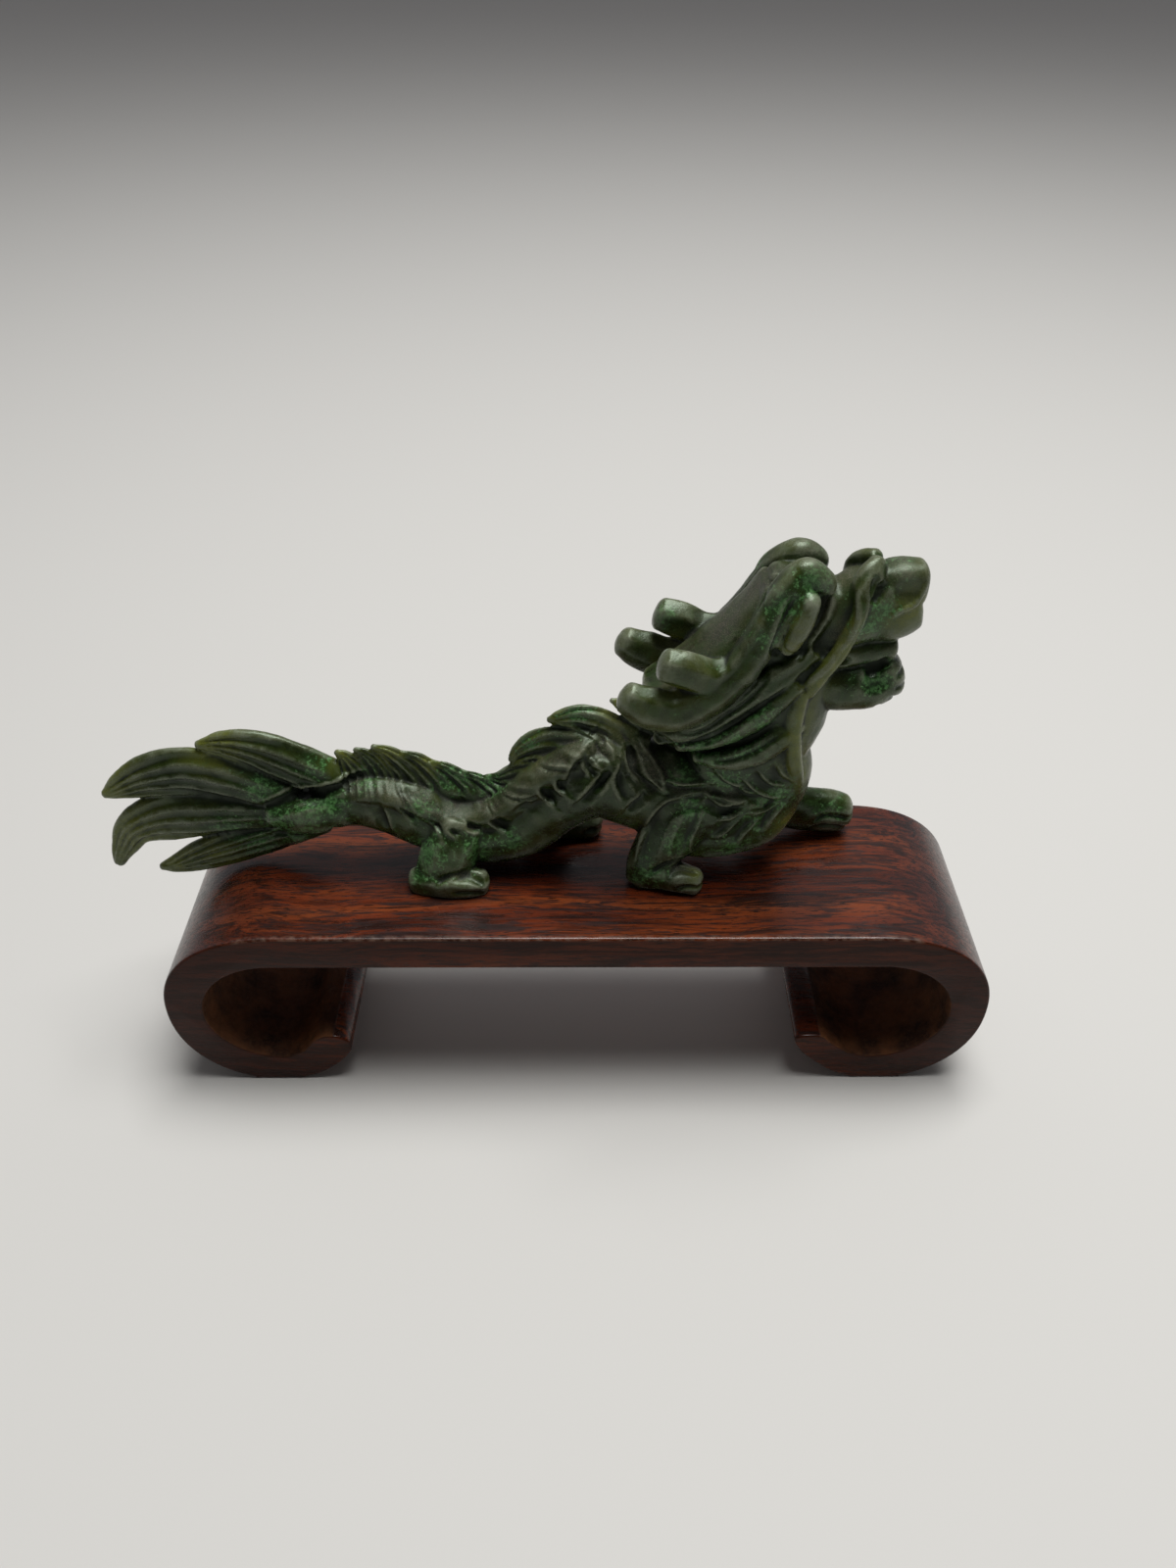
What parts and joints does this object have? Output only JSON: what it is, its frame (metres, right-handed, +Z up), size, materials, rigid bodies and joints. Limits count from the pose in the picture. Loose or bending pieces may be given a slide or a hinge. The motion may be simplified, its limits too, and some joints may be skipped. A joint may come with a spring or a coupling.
{
  "type": "carved jade dragon on a scroll stand",
  "caption": "Carved green jade dragon walking with raised horned head and grooved frond tail, resting on a rosewood stand with curled scroll ends.",
  "frame": {"origin": "on the table, under the middle of the whole object's bounding box", "axes": "+X along the stand towards the dragon's head, +Y across the stand from the dragon's right flank to its left, +Z up"},
  "size_m": [0.1778, 0.0406, 0.1113],
  "materials": {
    "jade": "polished dark green nephrite jade, slightly translucent, olive where thin and mottled with bright green",
    "rosewood": "satin oiled red-brown rosewood with dark streaks along the board"
  },
  "bodies": {
    "root": {"jade_dragon": "jade", "rosewood_stand": "rosewood"}
  },
  "joints": []
}
